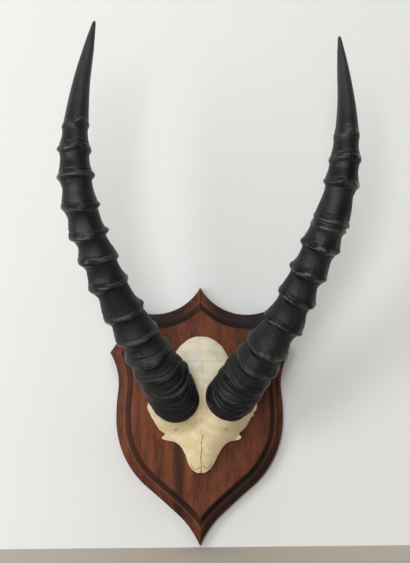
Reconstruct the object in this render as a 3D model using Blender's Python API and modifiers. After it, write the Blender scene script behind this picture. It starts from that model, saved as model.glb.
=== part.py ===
"""A pair of ringed antelope horns on a sawn skull cap, screwed to a moulded wooden shield.

The shield's flat back lies on the plane y = 0, against a wall on its +Y side. The horns reach
forwards, along -Y, and +Z is up. The origin is on that back face, on the shield's centre line.
Lengths are in metres; the tables below are in millimetres and are multiplied by MM where used.
"""

import math

import bmesh
import bpy
from mathutils import Vector

MM = 0.001
GAP = 0.3 * MM  # left between pieces that touch
PAST = 1.0 * MM  # how far a cutter runs out of the face that it opens
SHARP_ANGLE = math.radians(40)

# Shield: the right-hand outline, from the top point round to the bottom point.
SHIELD_TOP = (0.0, 113.0)
SHIELD_ARCS = (  # (end x, end z, radius, is the end a corner?); a negative radius is hollow
    (70.0, 88.6, -56.4, True),  # scallop beside the top point
    (94.4, 44.0, -220.0, True),  # shoulder, down to the ear
    (86.1, 1.0, -63.0, False),  # waist
    (87.4, -24.5, 188.0, False),  # widest place
    (55.85, -94.3, 93.0, False),  # belly
    (24.5, -121.8, -900.0, False),  # nearly straight run
    (0.0, -155.5, -95.0, True),  # tail, to the bottom point
)
SHIELD_STEP = 11.0  # spacing of the points along the outline
BOARD_THICKNESS = 22.0 * MM
EDGE_HEIGHT = 8.0  # square edge under the moulding
EDGE_ARRIS = 0.6
OVOLO_WIDTH, OVOLO_HEIGHT = 8.8, 7.0
FILLET_WIDTH = 1.2
COVE_WIDTH, COVE_HEIGHT = 5.2, 6.2

# Skull cap, from the sawn top edge down to the nose: (z, left half-width, right half-width,
# height over the board at the middle, height of the outer edge)
SKULL_CENTRE_X = -0.8
SKULL_ROWS = (
    (60.4, 5.0, 5.0, 6.0, 4.0),
    (59.2, 11.5, 11.0, 10.0, 5.0),
    (55.6, 18.0, 19.0, 17.0, 6.0),
    (50.0, 23.0, 23.5, 22.5, 7.0),
    (42.5, 27.5, 27.0, 27.0, 8.0),
    (34.0, 31.0, 30.5, 30.5, 9.0),
    (26.0, 37.0, 37.0, 32.5, 10.0),
    (17.0, 46.0, 46.5, 34.0, 12.0),
    (8.0, 51.0, 52.0, 35.0, 13.0),
    (-1.0, 52.0, 54.0, 35.5, 13.0),
    (-6.0, 53.0, 56.0, 35.5, 12.0),
    (-12.5, 55.2, 57.6, 35.0, 11.0),
    (-19.0, 52.3, 53.0, 34.5, 10.5),
    (-25.4, 48.7, 50.3, 33.5, 10.0),
    (-32.0, 45.0, 46.8, 32.0, 9.5),
    (-38.4, 37.4, 39.8, 30.0, 9.0),
    (-40.6, 37.0, 39.4, 29.2, 9.0),
    (-43.6, 40.0, 41.6, 28.0, 8.5),
    (-45.8, 38.0, 39.8, 27.0, 8.0),
    (-47.0, 27.5, 29.5, 26.5, 8.5),
    (-53.8, 19.4, 21.5, 23.0, 9.0),
    (-60.5, 15.9, 17.6, 19.5, 9.0),
    (-69.0, 13.3, 13.9, 15.5, 8.0),
    (-75.0, 9.4, 9.8, 12.5, 7.0),
    (-78.2, 5.3, 5.6, 10.5, 6.0),
    (-79.6, 1.6, 1.6, 8.5, 5.0),
)
SKULL_COLUMNS = 20  # strips across the front of the skull
SKULL_CROWN = 2.3  # power of the rounding across: higher is flatter with steeper sides
SKULL_UNDERCUT = 0.96  # width at the board over width at the outer edge
PEDICLE_FADE = 8.0  # how far the boss under a horn runs out into the skull

# Horns. The centre line starts at the middle of the rim that sits on the skull.
# Rings: (distance along the horn, radius at the ring's crest).
HORN_SIDES = 14
RIM_RADIUS = 24.2
SEAT_SECTIONS = 10  # sections of a horn that lie near the bone
HORNS = {
    "horn_left": {
        "line": (
            (-29.6, -58.0, -1.0), (-32.5, -72.0, 4.5), (-38.5, -82.0, 14.5),
            (-47.2, -89.0, 27.5), (-73.8, -110.0, 68.7), (-92.7, -128.0, 101.3),
            (-106.7, -142.0, 134.4), (-117.7, -152.0, 163.6), (-123.2, -158.0, 194.2),
            (-125.4, -159.0, 224.8), (-123.9, -157.0, 250.5), (-119.0, -154.0, 289.5),
            (-113.0, -153.0, 321.6), (-108.6, -154.0, 348.4),
        ),
        "rings": (
            (8.0, 24.4), (18.0, 24.5), (33.0, 24.3), (47.0, 23.8), (64.0, 22.4),
            (85.0, 21.0), (113.0, 20.4), (142.0, 19.2), (170.0, 18.2), (195.0, 17.6),
            (221.0, 17.1), (250.0, 16.2), (273.0, 14.8), (295.0, 12.8),
        ),
    },
    "horn_right": {
        "line": (
            (27.4, -58.0, -1.0), (30.5, -72.0, 4.5), (37.0, -82.0, 14.5),
            (46.5, -89.0, 28.0), (61.0, -99.0, 48.6), (77.2, -112.0, 75.0),
            (88.0, -125.0, 100.0), (97.9, -136.0, 122.8), (107.0, -145.0, 145.5),
            (116.3, -153.0, 172.8), (122.3, -158.0, 200.5), (126.3, -159.0, 228.9),
            (127.9, -157.0, 258.0), (125.8, -155.0, 287.5), (122.9, -154.0, 340.5),
        ),
        "rings": (
            (7.0, 24.4), (16.0, 24.5), (27.0, 24.3), (40.0, 24.0), (56.0, 23.0),
            (75.0, 21.8), (101.0, 20.8), (129.0, 19.7), (157.0, 18.7), (182.0, 18.2),
            (205.0, 17.2), (216.0, 16.8), (247.0, 16.0), (271.0, 14.8), (296.0, 12.2),
        ),
    },
}
VALLEY_RATIO = 0.91  # radius between two rings over the crest's radius
CROWDED = 12.0  # rings closer together than this have a shallow valley between them
CROWDED_RATIO = 0.975
FLARE_END, VALLEY_END = 0.38, 0.2  # shares of the way between two rings
TIP_RADII = (  # (distance back from the tip, radius) of the smooth end
    (0.0, 0.8), (2.5, 1.9), (14.0, 3.4), (27.0, 4.8),
    (42.0, 6.9), (60.0, 8.6), (78.0, 10.4), (90.0, 11.4),
)

# Fixings on the back
PLATE_CENTRE_Z = 68.0 * MM
PLATE_LENGTH, PLATE_WIDTH, PLATE_THICKNESS = 44.0 * MM, 16.0 * MM, 2.0 * MM
PLATE_SUNK = 0.1 * MM  # the plate lies just under the board's back face
KEYHOLE_ENTRY_RADIUS, KEYHOLE_SLOT_RADIUS, KEYHOLE_RISE = 4.7 * MM, 2.5 * MM, 10.0 * MM
KEYHOLE_DROP = 4.0 * MM  # the entry hole's centre below the plate's centre
POCKET_RADIUS, POCKET_DEPTH = 6.0 * MM, 10.0 * MM
PLATE_SCREW_HEIGHTS = {"upper": PLATE_CENTRE_Z + 16.5 * MM, "lower": PLATE_CENTRE_Z - 16.5 * MM}
SKULL_SCREW_HEIGHTS = {"upper": 20.0 * MM, "lower": -42.0 * MM}
SCREWS = {  # shank radius, head radius, head height, length, slot width and depth
    "plate": (1.5 * MM, 2.9 * MM, 1.5 * MM, 13.0 * MM, 0.8 * MM, 0.7 * MM),
    "skull": (2.1 * MM, 4.2 * MM, 2.4 * MM, 36.0 * MM, 1.1 * MM, 1.1 * MM),
}
SCREW_SEGMENTS = 16
SCREW_LAND = 0.2 * MM  # the thin upright rim of a screw's head
SCREW_SUNK = 0.05 * MM  # a screw's head lies this much under the face round it
HOLE_SEGMENTS = 20

COLOURS = {  # linear base colour, roughness, metallic
    "mahogany": ((0.115, 0.038, 0.022), 0.42, 0.0),
    "bone": ((0.76, 0.67, 0.50), 0.55, 0.0),
    "horn": ((0.022, 0.021, 0.021), 0.42, 0.0),
    "brass": ((0.52, 0.37, 0.14), 0.35, 1.0),
    "steel": ((0.45, 0.44, 0.42), 0.38, 1.0),
}


# Scene helpers


def clear_scene():
    for thing in list(bpy.data.objects):
        bpy.data.objects.remove(thing, do_unlink=True)


def new_collection(name):
    collection = bpy.data.collections.new(name)
    bpy.context.scene.collection.children.link(collection)
    return collection


def make_material(name):
    colour, roughness, metallic = COLOURS[name]
    material = bpy.data.materials.new(name)
    material.use_nodes = True
    shader = material.node_tree.nodes["Principled BSDF"]
    shader.inputs["Base Color"].default_value = (*colour, 1.0)
    shader.inputs["Roughness"].default_value = roughness
    shader.inputs["Metallic"].default_value = metallic
    return material


def place_mesh(name, bm, collection, material=None):
    """Turns a finished bmesh into an object of the collection."""
    bmesh.ops.recalc_face_normals(bm, faces=bm.faces)
    mesh = bpy.data.meshes.new(name)
    bm.to_mesh(mesh)
    bm.free()
    thing = bpy.data.objects.new(name, mesh)
    collection.objects.link(thing)
    if material:
        mesh.materials.append(material)
        mesh.shade_smooth()
        mesh.set_sharp_from_angle(angle=SHARP_ANGLE)
    return thing


def loft(sections):
    """A closed skin over sections of equal point count, with a flat face on each end."""
    bm = bmesh.new()
    loops = [[bm.verts.new(point) for point in section] for section in sections]
    for lower, upper in zip(loops, loops[1:]):
        for i in range(len(lower)):
            j = (i + 1) % len(lower)
            bm.faces.new((lower[i], lower[j], upper[j], upper[i]))
    bm.faces.new(loops[0])
    bm.faces.new(loops[-1])
    return bm


def cut(thing, cutter):
    modifier = thing.modifiers.new(f"cut_{cutter.name}", "BOOLEAN")
    modifier.operation = "DIFFERENCE"
    modifier.solver = "EXACT"
    modifier.object = cutter


def hide_cutter(cutter):
    cutter.hide_render = True
    cutter.display_type = "WIRE"
    return cutter


# Shield outline


def arc_centre(start, end, radius):
    """Centre of the arc from start to end, walking clockwise round the shield."""
    middle = (start + end) / 2
    chord = end - start
    inwards = Vector((chord.y, -chord.x)).normalized()
    rise = math.sqrt(radius * radius - chord.length_squared / 4)
    return middle + inwards * math.copysign(rise, radius)


def circles_meet(centre_a, radius_a, centre_b, radius_b, near):
    """The crossing of two circles that lies nearer to a known point."""
    line = centre_b - centre_a
    along = (radius_a**2 - radius_b**2 + line.length_squared) / (2 * line.length)
    across = math.sqrt(max(radius_a**2 - along**2, 0.0))
    unit = line.normalized()
    foot = centre_a + unit * along
    side = Vector((-unit.y, unit.x)) * across
    return min(foot + side, foot - side, key=lambda point: (point - near).length)


def shield_arcs():
    """The outline's arcs as (start, end, centre, radius, is the end a corner?)."""
    arcs, start = [], Vector(SHIELD_TOP)
    for x, z, radius, corner in SHIELD_ARCS:
        end = Vector((x, z))
        arcs.append((start, end, arc_centre(start, end, radius), radius, corner))
        start = end
    return arcs


def inset_knots(arcs, inset):
    """The arcs' ends moved in by the inset: mitred at corners, straight inwards elsewhere."""
    first_start, _, first_centre, first_radius, _ = arcs[0]
    mirrored = Vector((-first_centre.x, first_centre.y))
    reach = abs(first_radius - inset)
    knots = [circles_meet(first_centre, reach, mirrored, reach, first_start)]
    for i, (_, end, centre, radius, corner) in enumerate(arcs):
        reach = abs(radius - inset)
        if not corner:
            inwards = (centre - end).normalized() * math.copysign(1.0, radius)
            knots.append(end + inwards * inset)
            continue
        if i + 1 < len(arcs):
            other_centre, other_reach = arcs[i + 1][2], abs(arcs[i + 1][3] - inset)
        else:
            other_centre, other_reach = Vector((-centre.x, centre.y)), reach
        knots.append(circles_meet(centre, reach, other_centre, other_reach, end))
    return knots


def arc_points(start, end, centre, count):
    """Points from start up to, but without, the end, turning round the centre."""
    first, last = start - centre, end - centre
    turn = math.atan2(first.x * last.y - first.y * last.x, first.dot(last))
    angle = math.atan2(first.y, first.x)
    points = []
    for i in range(count):
        part = i / count
        reach = first.length + (last.length - first.length) * part
        bearing = angle + turn * part
        points.append(centre + Vector((math.cos(bearing), math.sin(bearing))) * reach)
    return points


def shield_loop(inset, height):
    """The whole outline, moved in by the inset and standing the height above the back face."""
    arcs = shield_arcs()
    knots = inset_knots(arcs, inset)
    half = []
    for (start, end, centre, _, _), a, b in zip(arcs, knots, knots[1:]):
        count = max(2, round((end - start).length / SHIELD_STEP))
        half += arc_points(a, b, centre, count)
    half.append(knots[-1])
    mirrored = [Vector((-point.x, point.y)) for point in reversed(half[1:-1])]
    return [Vector((p.x, -height, p.y)) * MM for p in half + mirrored]


def moulding_profile():
    """(inset, height) from the back face over the edge, ovolo, fillet and cove to the field."""
    top = BOARD_THICKNESS / MM
    profile = [(EDGE_ARRIS, 0.0), (0.0, EDGE_ARRIS), (0.0, EDGE_HEIGHT)]
    for i in range(4):
        angle = math.radians(30 * i)
        inset = EDGE_ARRIS + OVOLO_WIDTH * (1 - math.cos(angle))
        profile.append((inset, EDGE_HEIGHT + EDGE_ARRIS / 2 + OVOLO_HEIGHT * math.sin(angle)))
    inset, height = profile[-1]
    inset += FILLET_WIDTH
    for i in range(4):
        angle = math.radians(30 * i)
        profile.append((inset + COVE_WIDTH * math.sin(angle), height + COVE_HEIGHT * (1 - math.cos(angle))))
    profile.append((profile[-1][0] + EDGE_ARRIS, top))
    return profile


# Cutters for the fixings


def y_cylinder(name, radius, y_from, y_to, x, z, collection, end_radius=None):
    """A round cutter along Y; end_radius makes it a cone towards y_to."""
    bm = bmesh.new()
    bmesh.ops.create_cone(
        bm, cap_ends=True, segments=HOLE_SEGMENTS, radius1=radius,
        radius2=radius if end_radius is None else end_radius, depth=y_to - y_from,
    )
    for vert in bm.verts:
        vert.co = Vector((vert.co.x + x, vert.co.z + (y_from + y_to) / 2, -vert.co.y + z))
    return hide_cutter(place_mesh(name, bm, collection))


def stadium(name, radius, low_z, high_z, y_from, y_to, collection, material=None):
    """A bar along Z with round ends, between two y values; low_z and high_z are the ends' centres."""
    outline = []
    for i in range(HOLE_SEGMENTS + 2):
        upper = i <= HOLE_SEGMENTS // 2
        turn = math.pi * (i if upper else i - 1) / (HOLE_SEGMENTS // 2)
        outline.append((radius * math.cos(turn), (high_z if upper else low_z) + radius * math.sin(turn)))
    bm = loft([[Vector((x, y, z)) for x, z in outline] for y in (y_from, y_to)])
    return place_mesh(name, bm, collection, material)


def box_cutter(name, size, centre, collection):
    bm = bmesh.new()
    bmesh.ops.create_cube(bm, size=1.0)
    for vert in bm.verts:
        vert.co = Vector(centre) + Vector(c * s for c, s in zip(vert.co, size))
    return hide_cutter(place_mesh(name, bm, collection))


def keyhole_cutters(prefix, y_from, y_to, entry_radius, slot_radius, collection):
    """The entry hole and the slot above it, through the given depth."""
    entry_z = PLATE_CENTRE_Z - KEYHOLE_DROP
    entry = y_cylinder(f"{prefix}_entry", entry_radius, y_from, y_to, 0, entry_z, collection)
    slot = stadium(
        f"{prefix}_slot", slot_radius, entry_z, entry_z + KEYHOLE_RISE, y_from, y_to, collection
    )
    return [entry, hide_cutter(slot)]


def screw_cutters(prefix, kind, back_y, z, collection):
    """A clearance hole for the shank and a countersink for the head."""
    shank, head, head_height, length, _, _ = SCREWS[kind]
    slope = (head - shank) / head_height
    hole = y_cylinder(
        f"{prefix}_hole", shank + GAP, back_y - length - GAP, back_y + PAST, 0, z, collection
    )
    sink = y_cylinder(
        f"{prefix}_sink", shank + GAP, back_y - head_height - GAP, back_y + PAST, 0, z, collection,
        end_radius=shank + GAP + (head_height + GAP + PAST) * slope,
    )
    return [hole, sink]


# The pieces


def make_shield(parts, cutters, material):
    sections = [shield_loop(inset, height) for inset, height in moulding_profile()]
    board = place_mesh("shield_board", loft(sections), parts, material)
    straight = PLATE_LENGTH / 2 - PLATE_WIDTH / 2
    recess = stadium(
        "plate_recess", PLATE_WIDTH / 2 + GAP, PLATE_CENTRE_Z - straight, PLATE_CENTRE_Z + straight,
        -(PLATE_SUNK + PLATE_THICKNESS + GAP), PAST, cutters,
    )
    cut(board, hide_cutter(recess))
    for cutter in keyhole_cutters("pocket", -POCKET_DEPTH, PAST, POCKET_RADIUS, POCKET_RADIUS, cutters):
        cut(board, cutter)
    shank, _, _, length, _, _ = SCREWS["plate"]
    for name, z in PLATE_SCREW_HEIGHTS.items():
        pilot = f"board_pilot_{name}"
        cut(board, y_cylinder(pilot, shank + GAP, -(PLATE_SUNK + length + GAP), PAST, 0, z, cutters))
    for name, z in SKULL_SCREW_HEIGHTS.items():
        for cutter in screw_cutters(f"board_skull_{name}", "skull", -PLATE_SUNK, z, cutters):
            cut(board, cutter)
    return board


def make_hanger_plate(parts, cutters, material):
    straight = PLATE_LENGTH / 2 - PLATE_WIDTH / 2
    front, back = -(PLATE_SUNK + PLATE_THICKNESS), -PLATE_SUNK
    plate = stadium(
        "hanger_plate", PLATE_WIDTH / 2, PLATE_CENTRE_Z - straight, PLATE_CENTRE_Z + straight,
        front, back, parts, material,
    )
    for cutter in keyhole_cutters(
        "keyhole", front - PAST, back + PAST, KEYHOLE_ENTRY_RADIUS, KEYHOLE_SLOT_RADIUS, cutters
    ):
        cut(plate, cutter)
    for name, z in PLATE_SCREW_HEIGHTS.items():
        for cutter in screw_cutters(f"plate_{name}", "plate", back, z, cutters):
            cut(plate, cutter)
    return plate


def make_screw(name, kind, z, parts, cutters, material):
    """A slotted countersunk wood screw, turned about its axis, with its head towards the wall."""
    shank, head, head_height, length, slot_width, slot_depth = SCREWS[kind]
    profile = (
        (0.0, 0.0), (head - SCREW_LAND, 0.0), (head, -SCREW_LAND), (shank, -head_height),
        (shank, -length + 3 * shank), (0.3 * shank, -length), (0.0, -length),
    )
    mesh = bpy.data.meshes.new(f"{name}_profile")
    edges = [(i, i + 1) for i in range(len(profile) - 1)]
    mesh.from_pydata([(r, 0.0, depth) for r, depth in profile], edges, [])
    turned = bpy.data.objects.new(f"{name}_turned", mesh)
    parts.objects.link(turned)
    spin = turned.modifiers.new("turn", "SCREW")
    spin.steps = spin.render_steps = SCREW_SEGMENTS
    spin.use_merge_vertices = True
    spin.merge_threshold = 0.0001 * MM
    turned.rotation_euler = (math.radians(-90), 0, 0)
    turned.location = (0, -PLATE_SUNK - SCREW_SUNK, z)
    bpy.context.view_layer.update()
    bm = bmesh.new()
    bm.from_mesh(turned.evaluated_get(bpy.context.evaluated_depsgraph_get()).to_mesh())
    bm.transform(turned.matrix_world)
    bpy.data.objects.remove(turned)
    bmesh.ops.remove_doubles(bm, verts=bm.verts, dist=0.001 * MM)
    screw = place_mesh(name, bm, parts, material)
    slot = box_cutter(
        f"{name}_slot", (3 * head, 2 * slot_depth, slot_width), (0, -PLATE_SUNK, z), cutters
    )
    cut(screw, slot)
    return screw


def rim_plane(horn):
    """Centre and outward direction of the rim where a horn sits on the skull."""
    line = [Vector(point) for point in HORNS[horn]["line"]]
    return line[0], (line[1] - line[0]).normalized()


def pedicle_height(x, z):
    """Height over the board of the bony boss that carries the nearer horn, and its share there."""
    centre, axis = rim_plane("horn_left" if x < SKULL_CENTRE_X else "horn_right")
    away = (axis.x * (x - centre.x) + axis.z * (z - centre.z)) / axis.y
    plane = -(centre.y - away) - BOARD_THICKNESS / MM
    reach = math.hypot(x - centre.x, z - centre.z)
    part = min(max((reach - RIM_RADIUS) / PEDICLE_FADE, 0.0), 1.0)
    share = 1.0 - part * part * (3.0 - 2.0 * part)
    return plane - GAP / MM, share


def skull_height(x, z, across, crown, edge):
    """Height over the board: a rounded vault from edge to edge, rising to the bosses."""
    vault = edge + (crown - edge) * (1.0 - abs(across) ** SKULL_CROWN)
    boss, share = pedicle_height(x, z)
    return vault + max(boss - vault, 0.0) * share


def skull_section(row):
    z, left, right, crown, edge = row
    front = []
    for i in range(SKULL_COLUMNS + 1):
        across = -math.cos(math.pi * i / SKULL_COLUMNS)
        x = SKULL_CENTRE_X + across * (left if across < 0 else right)
        height = skull_height(x, z, across, crown, edge)
        if i in (0, SKULL_COLUMNS):
            height = edge / 2
        front.append((x, height))
    ends = [
        (SKULL_CENTRE_X + right * SKULL_UNDERCUT, 0.0),
        (SKULL_CENTRE_X - left * SKULL_UNDERCUT, 0.0),
    ]
    base = BOARD_THICKNESS + GAP
    return [Vector((x * MM, -(base + height * MM), z * MM)) for x, height in front + ends]


def make_skull(parts, cutters, material):
    skull = place_mesh("skull_cap", loft([skull_section(row) for row in SKULL_ROWS]), parts, material)
    shank, _, _, length, _, _ = SCREWS["skull"]
    for name, z in SKULL_SCREW_HEIGHTS.items():
        hole = y_cylinder(
            f"bone_hole_{name}", shank + GAP, -(length + PAST), -BOARD_THICKNESS, 0, z, cutters
        )
        cut(skull, hole)
    for horn in HORNS:
        cut(skull, seat_cutter(horn, cutters))
    return skull


def smooth_line(knots, steps=16):
    """A Catmull-Rom curve through the knots, as points and distances along it."""
    padded = [2 * knots[0] - knots[1], *knots, 2 * knots[-1] - knots[-2]]
    points = []
    for a, b, c, d in zip(padded, padded[1:], padded[2:], padded[3:]):
        for i in range(steps):
            t = i / steps
            points.append(
                (2 * b + (c - a) * t + (2 * a - 5 * b + 4 * c - d) * t**2
                 + (3 * b - a - 3 * c + d) * t**3) / 2
            )
    points.append(knots[-1])
    lengths = [0.0]
    for p, q in zip(points, points[1:]):
        lengths.append(lengths[-1] + (q - p).length)
    return points, lengths


def horn_stations(rings, length):
    """(distance, radius) pairs: each cup flares towards the skull and steps in under its ring."""
    stations = [(0.0, RIM_RADIUS)]
    previous = (0.0, RIM_RADIUS)
    for place, crest in rings:
        gap = place - previous[0]
        valley = (previous[1] + crest) / 2 * (VALLEY_RATIO if gap > CROWDED else CROWDED_RATIO)
        flare = (previous[0] + gap * FLARE_END, (valley + previous[1]) / 2)
        stations += [flare, (place - gap * VALLEY_END, valley), (place, crest)]
        previous = (place, crest)
    for back, radius in reversed(TIP_RADII):
        stations.append((length - back, radius))
    return stations


def horn_loop(points, lengths, distance, radius):
    """A ring of points square to the centre line."""
    i = next((i for i, reach in enumerate(lengths) if reach >= distance - 1e-6), len(lengths) - 1)
    i = min(max(i, 1), len(lengths) - 1)
    part = (distance - lengths[i - 1]) / (lengths[i] - lengths[i - 1])
    centre = points[i - 1].lerp(points[i], part)
    low, high = max(i - 3, 0), min(i + 3, len(points) - 1)
    along = (points[high] - points[low]).normalized()
    side = along.cross(Vector((0, -1, 0))).normalized()
    front = side.cross(along)
    loop = []
    for k in range(HORN_SIDES):
        turn = 2 * math.pi * k / HORN_SIDES
        loop.append((centre + (front * math.cos(turn) + side * math.sin(turn)) * radius) * MM)
    return loop


def horn_sections(name, growth=0.0):
    knots = [Vector(point) for point in HORNS[name]["line"]]
    points, lengths = smooth_line(knots)
    stations = horn_stations(HORNS[name]["rings"], lengths[-1])
    return [horn_loop(points, lengths, place, radius + growth) for place, radius in stations]


def seat_cutter(name, collection):
    """The lowest part of a horn, grown by the gap, which leaves its seat in the bone."""
    sections = horn_sections(name, GAP / MM)[:SEAT_SECTIONS]
    _, axis = rim_plane(name)
    sections[0] = [point - axis * GAP for point in sections[0]]
    return hide_cutter(place_mesh(f"{name}_seat", loft(sections), collection))


def make_horn(name, parts, material):
    return place_mesh(name, loft(horn_sections(name)), parts, material)


def main():
    clear_scene()
    parts = new_collection("horn_trophy")
    cutters = new_collection("cutters")
    materials = {name: make_material(name) for name in COLOURS}
    make_shield(parts, cutters, materials["mahogany"])
    make_hanger_plate(parts, cutters, materials["brass"])
    make_skull(parts, cutters, materials["bone"])
    for name in HORNS:
        make_horn(name, parts, materials["horn"])
    for name, z in PLATE_SCREW_HEIGHTS.items():
        make_screw(f"hanger_screw_{name}", "plate", z, parts, cutters, materials["brass"])
    for name, z in SKULL_SCREW_HEIGHTS.items():
        make_screw(f"skull_screw_{name}", "skull", z, parts, cutters, materials["steel"])


main()
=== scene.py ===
import math

import bpy
import numpy as np
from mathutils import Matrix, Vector


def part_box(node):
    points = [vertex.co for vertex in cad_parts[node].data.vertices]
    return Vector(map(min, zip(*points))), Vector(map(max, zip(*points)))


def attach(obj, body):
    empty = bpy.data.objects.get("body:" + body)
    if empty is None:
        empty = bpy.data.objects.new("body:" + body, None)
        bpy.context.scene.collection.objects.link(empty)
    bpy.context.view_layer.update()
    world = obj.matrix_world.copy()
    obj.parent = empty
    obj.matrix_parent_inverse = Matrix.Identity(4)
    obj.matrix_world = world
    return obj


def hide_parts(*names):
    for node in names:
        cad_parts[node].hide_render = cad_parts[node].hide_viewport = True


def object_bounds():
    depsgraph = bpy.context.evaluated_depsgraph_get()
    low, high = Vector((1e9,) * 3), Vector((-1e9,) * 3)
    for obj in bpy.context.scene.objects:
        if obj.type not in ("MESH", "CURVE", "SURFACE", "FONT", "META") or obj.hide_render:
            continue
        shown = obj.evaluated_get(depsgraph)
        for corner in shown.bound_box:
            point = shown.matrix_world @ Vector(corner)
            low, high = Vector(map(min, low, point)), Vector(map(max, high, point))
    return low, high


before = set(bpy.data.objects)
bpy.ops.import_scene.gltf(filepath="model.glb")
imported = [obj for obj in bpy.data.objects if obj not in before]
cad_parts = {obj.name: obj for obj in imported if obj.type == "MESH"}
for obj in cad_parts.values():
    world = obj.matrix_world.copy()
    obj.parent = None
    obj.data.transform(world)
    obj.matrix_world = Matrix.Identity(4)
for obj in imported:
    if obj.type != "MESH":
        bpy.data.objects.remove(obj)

mm = 0.001
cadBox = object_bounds()
print("frame loaded:", sorted(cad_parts))


# Reading tables and curves

def readTable(table, places, blur=0.0):
    # straight lines between the table's points, averaged over a short window that rounds the corners
    xs, ys = np.array(sorted(table), float).T
    if blur == 0.0:
        return np.interp(places, xs, ys)
    window = np.linspace(-blur, blur, 9)
    return np.mean([np.interp(places + shift, xs, ys) for shift in window], axis=0)


def smoothLine(knots, steps=24):
    # a Catmull-Rom curve through the knots: points, and the distance along it to each
    knots = np.array(knots, float)
    padded = np.vstack([2 * knots[0] - knots[1], knots, 2 * knots[-1] - knots[-2]])
    a, b, c, d = (padded[i:len(padded) - 3 + i, None, :] for i in range(4))
    t = (np.arange(steps) / steps)[None, :, None]
    points = (2 * b + (c - a) * t + (2 * a - 5 * b + 4 * c - d) * t**2 + (3 * b - a - 3 * c + d) * t**3) / 2
    points = np.vstack([points.reshape(-1, 3), knots[-1]])
    lengths = np.concatenate([[0.0], np.cumsum(np.linalg.norm(np.diff(points, axis=0), axis=1))])
    return points, lengths


def smoothStep(x, low, high):
    # 0 below low and 1 above high, with an S between them
    t = np.clip((x - low) / (high - low), 0.0, 1.0)
    return t * t * (3.0 - 2.0 * t)


def wander(turn, along, seed, around=4, reach=30.0, waves=7):
    # slow unevenness: sine waves, each a whole number of times round and some number of times along
    rng = np.random.default_rng(seed)
    total = 0.0
    for _ in range(waves):
        times, pace, start = rng.integers(0, around + 1), rng.uniform(0.4, 3.0), rng.uniform(0, 2 * math.pi)
        total = total + np.sin(times * turn + pace * along / reach * 2 * math.pi + start)
    return total / math.sqrt(waves)


# Making objects

def gridQuads(rows, columns, closed):
    # corner numbers of a grid's faces; a closed grid joins its last column to its first
    r = np.arange(rows - 1)[:, None]
    c = np.arange(columns if closed else columns - 1)[None, :]
    d = (c + 1) % columns
    corners = [r * columns + c, r * columns + d, (r + 1) * columns + d, (r + 1) * columns + c]
    return np.stack(corners, -1).reshape(-1, 4)


def makePiece(name, points, faces, attributes, sharpAngle=50):
    # points in millimetres; attributes are numbers or vectors, one for each point
    mesh = bpy.data.meshes.new(name)
    mesh.from_pydata((points * mm).tolist(), [], faces)
    for key, values in attributes.items():
        vector = values.ndim == 2
        layer = mesh.attributes.new(key, "FLOAT_VECTOR" if vector else "FLOAT", "POINT")
        layer.data.foreach_set("vector" if vector else "value", values.astype(np.float32).ravel())
    mesh.shade_smooth()
    mesh.set_sharp_from_angle(angle=math.radians(sharpAngle))
    mesh.validate()
    piece = bpy.data.objects.new(name, mesh)
    bpy.context.scene.collection.objects.link(piece)
    print(name, len(mesh.polygons), "faces")
    return piece


# Horns

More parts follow.
